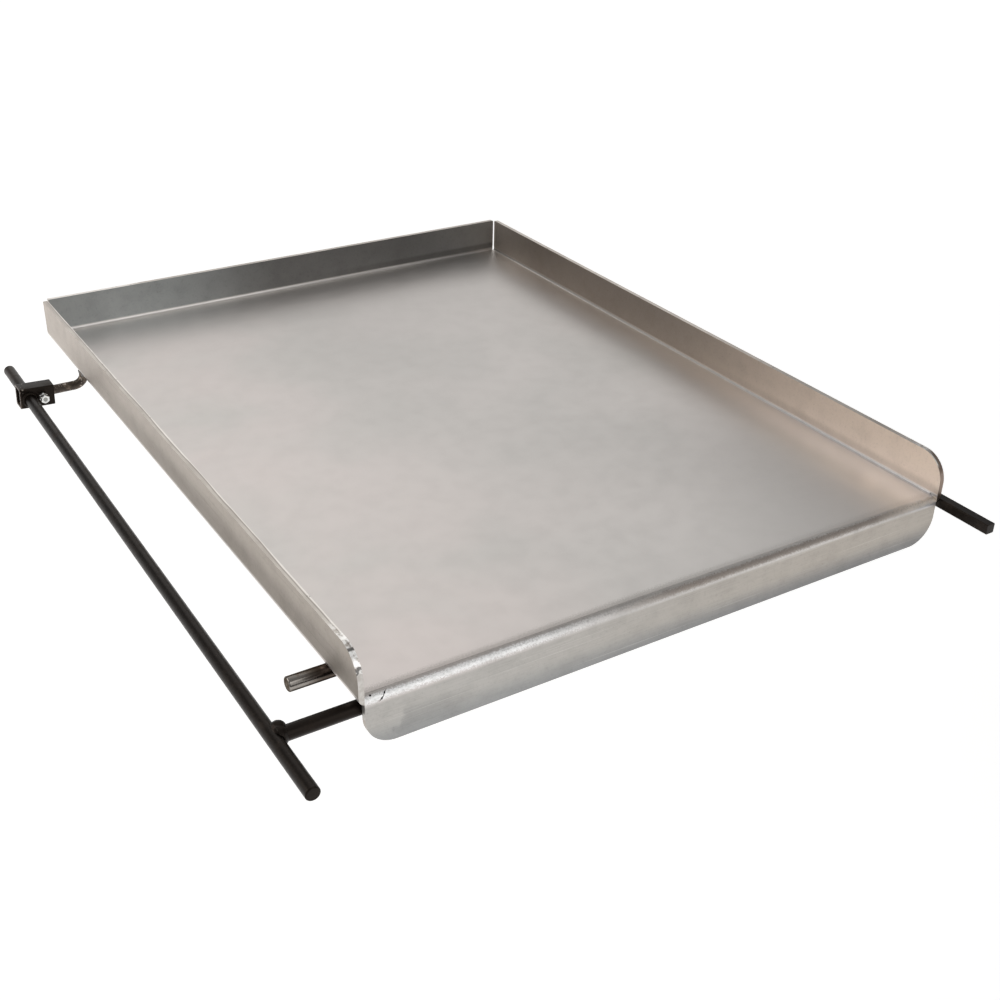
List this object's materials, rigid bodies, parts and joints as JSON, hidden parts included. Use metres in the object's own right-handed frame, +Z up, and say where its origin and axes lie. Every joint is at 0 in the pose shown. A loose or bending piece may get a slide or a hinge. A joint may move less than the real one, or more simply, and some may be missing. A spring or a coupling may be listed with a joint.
{
  "type": "flat top griddle",
  "caption": "Folded steel griddle pan, open at the front over a turned-down lip, carried on a square rest rail and an adjustable round side rail.",
  "frame": {"origin": "midway between the outer sides of the two rails and midway along the whole object, at the height of the square rail's underside, where the ledges hold the griddle up", "axes": "+X to the right, from the round rail towards the square rail; +Y back, from the lip towards the back wall; +Z up"},
  "size_m": [0.6606, 0.816, 0.0826],
  "materials": {
    "plate_steel": "bare hot-rolled steel plate, satin, lightly oiled, with cloudy heat and rolling marks and bright worn edges",
    "black_paint": "semi-matt black paint over round and square bar",
    "bright_bar": "dark oily drawn bar with streaked highlights",
    "mill_scale": "unpainted bar with brown mill scale",
    "zinc_plate": "bright zinc plate",
    "weld_metal": "rough bare weld metal with heat tint"
  },
  "bodies": {
    "pan": {"folded_pan": "plate_steel", "right_rest_rail": "black_paint", "front_stub_rod": "bright_bar", "rear_clamp_arm": "mill_scale", "rear_arm_weld": "weld_metal", "stub_weld_front": "weld_metal", "stub_weld_rear": "weld_metal", "cross_rod_keeper_left": "weld_metal", "keeper_weld_left": "weld_metal", "cross_rod_keeper_right": "weld_metal", "keeper_weld_right": "weld_metal", "rest_rail_weld_1": "weld_metal", "rest_rail_weld_2": "weld_metal", "rest_rail_weld_3": "weld_metal", "rest_rail_weld_4": "weld_metal"},
    "sliding_rail": {"left_support_rail": "black_paint", "front_cross_rod": "black_paint", "tee_weld": "black_paint", "rear_clamp_tube": "black_paint", "clamp_tube_weld_front": "black_paint", "clamp_tube_weld_rear": "black_paint"},
    "clamp_screw": {"clamp_screw": "zinc_plate"},
    "lock_nut": {"lock_nut": "zinc_plate"}
  },
  "joints": [
    {"name": "rail_slide", "type": "slide", "parent": "pan", "child": "sliding_rail", "axis": [-1, 0, 0], "range_m": [-0.001, 0.012]},
    {"name": "clamp_screw_turn", "type": "hinge", "parent": "sliding_rail", "child": "clamp_screw", "pos_m": [-0.30687, 0.26602, -0.00094], "axis": [0, -1, 0], "range_deg": [0, 720]},
    {"name": "lock_nut_turn", "type": "hinge", "parent": "sliding_rail", "child": "lock_nut", "pos_m": [-0.30687, 0.26602, -0.00094], "axis": [0, -1, 0], "range_deg": [0, 360]}
  ]
}
